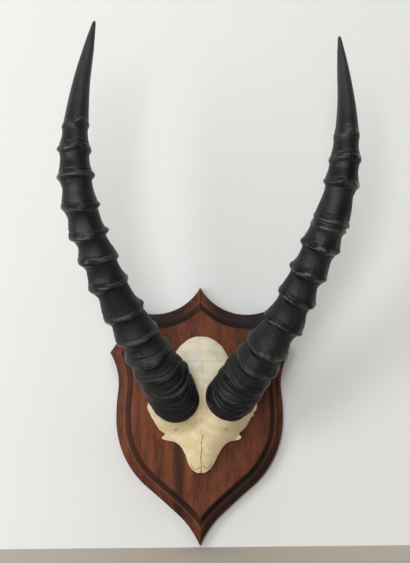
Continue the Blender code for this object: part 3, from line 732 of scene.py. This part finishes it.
def addNode(tree, kind, settings=None, links=None, output=None):
    # settings are the node's own properties, its sockets' values, or a ramp's stops; links feed its sockets;
    # it gives back the named output, or else the node's usual one
    # on a Mix node of colours, socket 0 is the second colour's share and sockets 6 and 7 are the colours
    node = tree.nodes.new("ShaderNode" + kind)
    for key, value in (settings or {}).items():
        if key == "stops":
            while len(node.color_ramp.elements) < len(value):
                node.color_ramp.elements.new(1.0)
            for stop, (place, colour) in zip(node.color_ramp.elements, value):
                stop.position, stop.color = place, colour
        elif isinstance(key, str) and hasattr(node, key):
            setattr(node, key, value)
        else:
            node.inputs[key].default_value = value
    for key, socket in (links or {}).items():
        tree.links.new(socket, node.inputs[key])
    if output is None:
        output = 2 if kind == "Mix" else 0
    return node.outputs[output]


def newMaterial(name):
    material = bpy.data.materials.new(name)
    material.use_nodes = True
    tree = material.node_tree
    return material, tree, tree.nodes["Principled BSDF"]


hornLooks = {
    "black": "#060607",  # fresh keratin in the hollows
    "grey": "#1e1f21",  # dry, dusty keratin
    "worn": "#4b4946",  # rubbed edges of the rings, also painted highlights on them
    "brown": "#271c17",  # where the sheath is thin or young
    "deep": "#060506",  # dirt and painted shade between the close rings
    "tip": "#3e3d3b",  # dry keratin of the smooth tips
    "fibre": 1.1,  # mm between lengthwise fibres, drawn coarse enough to show
    "growth": 1.5,  # mm between growth lines
    "blotch": 16.0,  # mm across a patch of dust
    "crust": 3.0,  # mm across a flake of the weathered surface
    "tintScale": 60.0,  # brown and rubbed patches in a metre
    # share of the horn's length, share of brown there
    "brownZones": greys(
        (0.05, 0), (0.13, 0.6), (0.22, 0.1), (0.6, 0.1), (0.72, 0.6), (0.8, 0.25), (1.0, 0.05)),
    "perLength": 2.45,  # horn lengths in a metre
    "wornAndHighlightMost": 0.85,
}


def hornKeratin(looks):
    # satin black-grey keratin with lengthwise fibres, faint growth lines, pale rubbed ring edges that are
    # also painted highlights, and dirt and painted shade in the furrows between the close rings
    material, tree, shader = newMaterial("horn keratin")
    straight = addNode(tree, "Attribute", {"attribute_name": "straight"}, {}, "Vector")
    lip, waist, furrow = (
        addNode(tree, "Attribute", {"attribute_name": key}, {}, "Fac") for key in ("lip", "waist", "furrow"))
    along = addNode(tree, "SeparateXYZ", {}, {"Vector": straight}, "Z")
    lengthwise = addNode(tree, "Mapping", {"Scale": (1, 1, 0.035)}, {"Vector": straight})
    roundwise = addNode(tree, "Mapping", {"Scale": (0.09, 0.09, 1)}, {"Vector": straight})
    fibres, growth, blotch, crust, patches = (
        addNode(tree, "TexNoise", {"Scale": scale, "Detail": detail, "Roughness": rough}, {"Vector": source})
        for scale, detail, rough, source in (
            (1000 / looks["fibre"], 3.0, 0.6, lengthwise), (1000 / looks["growth"], 2.0, 0.5, roundwise),
            (1000 / looks["blotch"], 6.0, 0.62, straight), (1000 / looks["crust"], 5.0, 0.65, straight),
            (looks["tintScale"], 5.0, 0.6, straight)))

    streak = addNode(tree, "Math", {"operation": "MULTIPLY"}, {0: fibres, 1: blotch})
    dust = addNode(tree, "ValToRGB", {"stops": greys((0.14, 0), (0.42, 1))}, {"Fac": streak})
    colour = addNode(tree, "Mix", {"data_type": "RGBA", 6: linear(looks["black"]), 7: linear(looks["grey"])},
                     {0: dust})
    share = addNode(tree, "Math", {"operation": "MULTIPLY", 1: looks["perLength"]}, {0: along})
    zones = addNode(tree, "ValToRGB", {"stops": looks["brownZones"]}, {"Fac": share})
    brownPatches = addNode(tree, "ValToRGB", {"stops": greys((0.48, 0), (0.68, 1))}, {"Fac": patches})
    brown = addNode(tree, "Math", {"operation": "MULTIPLY"}, {0: zones, 1: brownPatches})
    dryTip = addNode(tree, "MapRange", {"From Min": 0.28, "From Max": 0.36, "To Max": 0.75}, {"Value": along})
    wornAndHighlightPatches = addNode(tree, "ValToRGB", {"stops": greys((0.4, 0), (0.7, 1))}, {"Fac": patches})
    # the rings' pale rubbed edges are wear, and painted highlights too
    rubbedAndHighlight = addNode(tree, "Math", {"operation": "MULTIPLY"}, {0: lip, 1: wornAndHighlightPatches})
    worn = addNode(tree, "Math", {"operation": "MULTIPLY", 1: looks["wornAndHighlightMost"]}, {0: rubbedAndHighlight})
    # deep darkens the close rings' furrows: dirt and painted shade
    for name, mask in (("brown", brown), ("tip", dryTip), ("worn", worn), ("deep", furrow)):
        colour = addNode(tree, "Mix", {"data_type": "RGBA", 7: linear(looks[name])}, {0: mask, 6: colour})
    tree.links.new(colour, shader.inputs["Base Color"])

    # duller between the rings, most of all on the weathered lower half, and polished by handling on the
    # rings' edges
    gloss = addNode(tree, "MapRange", {"To Min": 0.24, "To Max": 0.44}, {"Value": blotch})
    rougher = addNode(tree, "Math", {"operation": "MULTIPLY_ADD", 1: 0.12}, {0: waist, 2: gloss})
    polished = addNode(tree, "Math", {"operation": "MULTIPLY_ADD", 1: -0.15}, {0: lip, 2: rougher})
    dulled = addNode(tree, "MapRange", {"From Min": 0.21, "From Max": 0.15, "To Max": 0.16}, {"Value": along})
    roughness = addNode(tree, "Math", {"operation": "MULTIPLY_ADD"}, {0: dulled, 1: waist, 2: polished})
    tree.links.new(roughness, shader.inputs["Roughness"])

    # fibres and growth lines stand up a little, and towards the skull the weathered crust does too
    old = addNode(tree, "MapRange", {"From Min": 0.14, "From Max": 0.05, "To Min": 0.6, "To Max": 3.6},
                  {"Value": along})
    crusted = addNode(tree, "Math", {"operation": "MULTIPLY"}, {0: crust, 1: old})
    lined = addNode(tree, "Math", {"operation": "MULTIPLY_ADD", 1: 0.6}, {0: growth, 2: fibres})
    relief = addNode(tree, "Math", {"operation": "ADD"}, {0: lined, 1: crusted})
    bump = addNode(tree, "Bump", {"Strength": 0.6, "Distance": 0.0005}, {"Height": relief})
    tree.links.new(bump, shader.inputs["Normal"])
    shader.inputs["IOR"].default_value = 1.5
    shader.inputs["Specular IOR Level"].default_value = 0.31
    return material


boneLooks = {
    "pale": "#fdf4db",  # bleached surface
    "cream": "#e6d4aa",  # where grease has yellowed it, and painted shade towards the lower part
    "seam": "#75603f",  # dirt in the sutures
    "bleach": "#dfe6e4",  # a bluish spot on the dome
    "stainAndShade": "#b79f74",  # in the pores, and dirt and painted shade beside the horns' bases
    "patch": 13.0,  # mm across a yellow patch
    "pore": 0.9,  # mm between pores, drawn coarse enough to show
}


def bleachedBone(looks):
    # dry matt cream bone: yellowish patches, fine pores, dirt in its sutures, painted shade towards the lower
    # part, dirt and painted shade beside the horns' bases, a little light passing through
    material, tree, shader = newMaterial("bleached bone")
    where = addNode(tree, "TexCoord", {}, {}, "Object")
    seam, bleach, under = (
        addNode(tree, "Attribute", {"attribute_name": key}, {}, "Fac")
        for key in ("seam", "bleach", "underHorn"))
    patch, pores = (
        addNode(tree, "TexNoise", {"Scale": scale, "Detail": detail, "Roughness": rough}, {"Vector": where})
        for scale, detail, rough in ((1000 / looks["patch"], 5.0, 0.6), (1000 / looks["pore"], 3.0, 0.65)))
    height = addNode(tree, "SeparateXYZ", {}, {"Vector": where}, "Z")
    lower = addNode(tree, "MapRange", {"From Min": 0.03, "From Max": -0.04, "To Max": 0.3}, {"Value": height})
    yellowAndLowShade = addNode(tree, "Math", {"operation": "ADD"}, {0: patch, 1: lower})  # yellow patches, more towards the lower part: yellowing and painted shade there
    yellow = addNode(tree, "ValToRGB", {"stops": greys((0.46, 0), (0.8, 1))}, {"Fac": yellowAndLowShade})
    colour = addNode(tree, "Mix", {"data_type": "RGBA", 6: linear(looks["pale"]), 7: linear(looks["cream"])},
                     {0: yellow})
    specks = addNode(tree, "ValToRGB", {"stops": greys((0.58, 0), (0.76, 1))}, {"Fac": pores})
    # the stain beside the horns' bases is dirt and painted shade
    for name, mask, most in (
        ("stainAndShade", specks, 0.35), ("bleach", bleach, 0.7), ("stainAndShade", under, 0.25), ("seam", seam, 0.85),
    ):
        share = addNode(tree, "Math", {"operation": "MULTIPLY", 1: most}, {0: mask})
        colour = addNode(tree, "Mix", {"data_type": "RGBA", 7: linear(looks[name])}, {0: share, 6: colour})
    tree.links.new(colour, shader.inputs["Base Color"])
    bump = addNode(tree, "Bump", {"Strength": 0.35, "Distance": 0.0003}, {"Height": pores})
    tree.links.new(bump, shader.inputs["Normal"])
    shader.inputs["Roughness"].default_value = 0.62
    shader.inputs["IOR"].default_value = 1.5
    shader.inputs["Subsurface Weight"].default_value = 0.12
    shader.inputs["Subsurface Radius"].default_value = (0.0022, 0.0014, 0.0008)
    shader.inputs["Subsurface Scale"].default_value = 1.0
    return material


woodLooks = {
    "light": "#935230",
    "middle": "#733e27",
    "dark": "#2f1811",
    "rubbedAndHighlight": "#9c6c4c",  # varnish and stain worn thin along the edges of the moulding, drawn as painted highlight lines
    "endGrainAndEdgeShade": "#1a0f0b",  # sawn across the fibres, which drink the stain; also painted shade on the lower right edge
    "upwardEdgeGrey": "#1c191a",  # darker grey on the edges that face up
    "streak": 1.0,  # mm across a streak
    "band": 11.0,  # mm across a growth band
    "pore": 0.7,  # mm across a pore, drawn coarse enough to show
    "mottle": 6.0,  # mm across a patch of the figure
    "heart": (-0.0195, 0.0055, -0.035),  # middle and half-width of a dark streak, and its upper end, m
    "paintedShadeSide": (0.02, 0.1, 0.5),  # painted shade: the board darkens across its width towards the right, standing for the horns' shadow: from x, to x in m, and how much
    # place across the moulding in units of 20 mm from the edge, and how much; the ovolo ends at 0.44, the
    # fillet at 0.5 and the cove at 0.76
    # dirt along the moulding, and painted shade darkening the hollow cove
    "dirtAndCoveShade": greys((0.0, 0.5), (0.1, 0.05), (0.43, 0.1), (0.52, 0.85), (0.74, 0.6), (0.8, 0)),
    # worn varnish along the ovolo's shoulder and the field's lip, drawn as painted highlight lines
    "edgeWearAndHighlight": greys((0.39, 0), (0.435, 0.35), (0.47, 0), (0.755, 0), (0.775, 0.3), (0.795, 0)),
}


def varnishedMahogany(looks):
    # red-brown mahogany, straight grain up the board, short dark pores, dirt and painted shade in the
    # moulding, painted shade on the right side and the lower right edge, painted highlight lines along the
    # moulding, satin varnish
    material, tree, shader = newMaterial("varnished mahogany")
    where = addNode(tree, "TexCoord", {}, {}, "Object")
    inset, facing, stained = (
        addNode(tree, "Attribute", {"attribute_name": key}, {}, "Fac")
        for key in ("inset", "facing", "stained"))
    # the grain bends to the sides by a few mm over about 110 mm
    bend = addNode(tree, "TexNoise", {"Scale": 9.0, "Detail": 1.0}, {"Vector": where}, "Color")
    bent = addNode(tree, "VectorMath", {"operation": "MULTIPLY_ADD", 1: (0.006, 0.0, 0.0)},
                   {0: bend, 2: where})
    across, up = (addNode(tree, "SeparateXYZ", {}, {"Vector": bent}, axis) for axis in "XZ")

    grain = []  # noise drawn out along the board
    for key, source, stretch, detail, rough in (
        ("streak", bent, 0.07, 4.0, 0.6), ("band", bent, 0.09, 3.0, 0.55),
        ("pore", where, 0.11, 2.0, 0.5), ("mottle", bent, 0.35, 6.0, 0.68),
    ):
        drawn = addNode(tree, "Mapping", {"Scale": (1, 1, stretch)}, {"Vector": source})
        settings = {"Scale": 1000 / looks[key], "Detail": detail, "Roughness": rough}
        grain.append(addNode(tree, "TexNoise", settings, {"Vector": drawn}))
    streaks, bands, pores, mottle = grain
    slow = addNode(tree, "Math", {"operation": "MULTIPLY", 1: 0.55}, {0: bands})
    figure = addNode(tree, "Math", {"operation": "MULTIPLY_ADD", 1: 0.45}, {0: streaks, 2: slow})
    browns = [(place, linear(looks[key])) for place, key in ((0.3, "dark"), (0.5, "middle"), (0.7, "light"))]
    colour = addNode(tree, "ValToRGB", {"stops": browns}, {"Fac": figure})

    middle, wide, upper = looks["heart"]
    off = addNode(tree, "Math", {"operation": "SUBTRACT", 1: middle}, {0: across})
    away = addNode(tree, "Math", {"operation": "ABSOLUTE"}, {0: off})
    near = addNode(tree, "MapRange", {"From Min": 1.5 * wide, "From Max": 0.4 * wide, "To Max": 0.8},
                   {"Value": away})
    below = addNode(tree, "MapRange", {"From Min": upper, "From Max": upper - 0.02}, {"Value": up})
    heart = addNode(tree, "Math", {"operation": "MULTIPLY"}, {0: near, 1: below})
    # painted shade: the board darker towards its right side, standing for the horns' shadow
    start, end, most = looks["paintedShadeSide"]
    paintedShadeSide = addNode(tree, "MapRange", {"From Min": start, "From Max": end, "To Max": most},
                       {"Value": across})
    clouds = addNode(tree, "MapRange", {"From Min": 0.42, "From Max": 0.72, "To Max": 0.55},
                     {"Value": mottle})
    mottleAndPaintedShade = addNode(tree, "Math", {"operation": "ADD", "use_clamp": True}, {0: paintedShadeSide, 1: clouds})
    poreMask = addNode(tree, "ValToRGB", {"stops": greys((0.6, 0), (0.7, 1))}, {"Fac": pores})
    pored = addNode(tree, "Math", {"operation": "MULTIPLY", 1: 0.6}, {0: poreMask})

    depth = addNode(tree, "Math", {"operation": "DIVIDE", 1: 0.02}, {0: inset})
    dirtAndCoveShade = addNode(tree, "ValToRGB", {"stops": looks["dirtAndCoveShade"]}, {"Fac": depth})
    edgeWearAndHighlight = addNode(tree, "ValToRGB", {"stops": looks["edgeWearAndHighlight"]}, {"Fac": depth})
    down = addNode(tree, "MapRange", {"From Min": -0.25, "From Max": -0.8, "To Max": 0.4}, {"Value": facing})
    rising = addNode(tree, "MapRange", {"From Min": 0.5, "From Max": 0.85, "To Max": 0.85}, {"Value": facing})
    # painted shade on the lower right edge, in the end grain's colour
    edgeShadeShare = addNode(tree, "Math", {"operation": "MULTIPLY", 1: 0.8}, {0: stained})
    for name, mask in (
        ("dark", heart), ("dark", mottleAndPaintedShade), ("dark", pored), ("dark", dirtAndCoveShade), ("endGrainAndEdgeShade", down),
        ("rubbedAndHighlight", edgeWearAndHighlight), ("endGrainAndEdgeShade", edgeShadeShare), ("upwardEdgeGrey", rising),
    ):
        colour = addNode(tree, "Mix", {"data_type": "RGBA", 7: linear(looks[name])}, {0: mask, 6: colour})
    tree.links.new(colour, shader.inputs["Base Color"])
    gloss = addNode(tree, "MapRange", {"To Min": 0.42, "To Max": 0.62}, {"Value": streaks})
    tree.links.new(gloss, shader.inputs["Roughness"])
    bump = addNode(tree, "Bump", {"invert": True, "Strength": 0.3, "Distance": 0.0003}, {"Height": pores})
    tree.links.new(bump, shader.inputs["Normal"])
    shader.inputs["Specular IOR Level"].default_value = 0.16
    return material


metalLooks = {
    "brass": {"light": "#c7a35c", "dull": "#8f6f3c", "roughness": (0.28, 0.5), "scratch": 0.5},
    "steel": {"light": "#b9b8b3", "dull": "#7f7e79", "roughness": (0.25, 0.45), "scratch": 0.4},
}


def stampedMetal(name, looks):
    # rolled sheet or turned wire with fine scratches and dull tarnish
    material, tree, shader = newMaterial(name)
    where = addNode(tree, "TexCoord", {}, {}, "Object")
    drawn = addNode(tree, "Mapping", {"Scale": (1, 1, 0.06)}, {"Vector": where})
    scratches = addNode(tree, "TexNoise", {"Scale": 1000 / looks["scratch"], "Detail": 2.0},
                        {"Vector": drawn})
    tarnish = addNode(tree, "TexNoise", {"Scale": 220.0, "Detail": 4.0}, {"Vector": where})  # 4.5 mm patches
    colour = addNode(tree, "Mix", {"data_type": "RGBA", 6: linear(looks["light"]), 7: linear(looks["dull"])},
                     {0: tarnish})
    tree.links.new(colour, shader.inputs["Base Color"])
    low, high = looks["roughness"]
    gloss = addNode(tree, "MapRange", {"To Min": low, "To Max": high}, {"Value": scratches})
    tree.links.new(gloss, shader.inputs["Roughness"])
    shader.inputs["Metallic"].default_value = 1.0
    return material


def paint(piece, material):
    piece.data.materials.clear()
    piece.data.materials.append(material)


# Building the object

keratin = hornKeratin(hornLooks)
for name in horns:
    sheath = makeHorn(name, hornShape)
    paint(sheath, keratin)
    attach(sheath, "root")
    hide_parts(name)

skull = makeSkull(skullShape)
paint(skull, bleachedBone(boneLooks))
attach(skull, "root")
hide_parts("skull_cap")

board = makeShield(shieldShape)
cutBack(board)
paint(board, varnishedMahogany(woodLooks))
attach(board, "root")
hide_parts("shield_board")

for metal, nodes in (
    ("brass", ("hanger_plate", "hanger_screw_upper", "hanger_screw_lower")),
    ("steel", ("skull_screw_upper", "skull_screw_lower")),
):
    finish = stampedMetal(metal, metalLooks[metal])
    for node in nodes:
        paint(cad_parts[node], finish)
print("materials done")


# Floor, wall, light and camera

studio = {
    "floor": "#cdc4b4",
    "wall": "#e9eaea",
    "world": (0.9, 0.95, 1.0),
    "worldStrength": 0.09,
    "reach": 3.0,  # of the floor and the wall, m
    "floorGap": 0.002,  # between the board's lowest point and the floor, m
    "wallGap": 0.001,  # how far the wall stands in front of the board's back, so that no gap shows, m
    "lampAim": (0.0, -0.05, 0.1),
    # name: place, size, watts
    "lamps": {
        "windowLight": ((-1.78, -1.6, 0.25), 0.9, 22.5),
        "roomLight": ((-0.55, -2.5, 0.2), 0.9, 27.5),
        "ceilingLight": ((0.15, -1.6, 2.3), 1.2, 19.0),
    },
}

cameraSetup = {
    "azimuth": -4.0,
    "elevation": -6.0,
    "distance": 1.10,
    "lens": 67.13,
    "aim": (0.00415, -0.022, 0.1182),
}


def flatSheet(name, corners, colour):
    # seen and felt by light from its front only, so the object shows from behind and below
    mesh = bpy.data.meshes.new(name)
    mesh.from_pydata(corners, [], [(0, 1, 2, 3)])
    sheet = bpy.data.objects.new(name, mesh)
    bpy.context.scene.collection.objects.link(sheet)
    material, tree, shader = newMaterial(name)
    shader.inputs["Base Color"].default_value = linear(colour)
    shader.inputs["Roughness"].default_value = 0.9
    behind = addNode(tree, "NewGeometry", {}, {}, "Backfacing")
    clear = addNode(tree, "BsdfTransparent")
    both = addNode(tree, "MixShader", {}, {0: behind, 1: shader.outputs[0], 2: clear})
    tree.links.new(both, tree.nodes["Material Output"].inputs["Surface"])
    mesh.materials.append(material)


def makeStudio():
    low, high = cadBox
    far, ground, back = studio["reach"], low.z - studio["floorGap"], high.y - studio["wallGap"]
    floor = [(-far, -far, ground), (far, -far, ground), (far, far, ground), (-far, far, ground)]
    wall = [(-far, back, ground), (far, back, ground), (far, back, far), (-far, back, far)]
    flatSheet("floor", floor, studio["floor"])
    flatSheet("wall", wall, studio["wall"])
    world = bpy.data.worlds.new("room")
    world.use_nodes = True
    background = world.node_tree.nodes["Background"]
    background.inputs["Color"].default_value = (*studio["world"], 1.0)
    background.inputs["Strength"].default_value = studio["worldStrength"]
    bpy.context.scene.world = world
    aim = Vector(studio["lampAim"])
    for name, (place, size, watts) in studio["lamps"].items():
        lamp = bpy.data.lights.new(name, "AREA")
        lamp.size, lamp.energy = size, watts
        holder = bpy.data.objects.new(name, lamp)
        holder.location = place
        holder.rotation_euler = (aim - Vector(place)).to_track_quat("-Z", "Y").to_euler()
        bpy.context.scene.collection.objects.link(holder)


def makeCamera():
    turn, lift = math.radians(cameraSetup["azimuth"]), math.radians(cameraSetup["elevation"])
    back = Vector((math.sin(turn) * math.cos(lift), -math.cos(turn) * math.cos(lift), math.sin(lift)))
    lens = bpy.data.cameras.new("camera")
    lens.lens, lens.sensor_width = cameraSetup["lens"], 36.0
    holder = bpy.data.objects.new("camera", lens)
    holder.location = Vector(cameraSetup["aim"]) + back * cameraSetup["distance"]
    holder.rotation_euler = (-back).to_track_quat("-Z", "Y").to_euler()
    bpy.context.scene.collection.objects.link(holder)
    bpy.context.scene.camera = holder


makeStudio()
makeCamera()
bpy.context.scene.view_settings.view_transform = "Standard"
print("studio done")
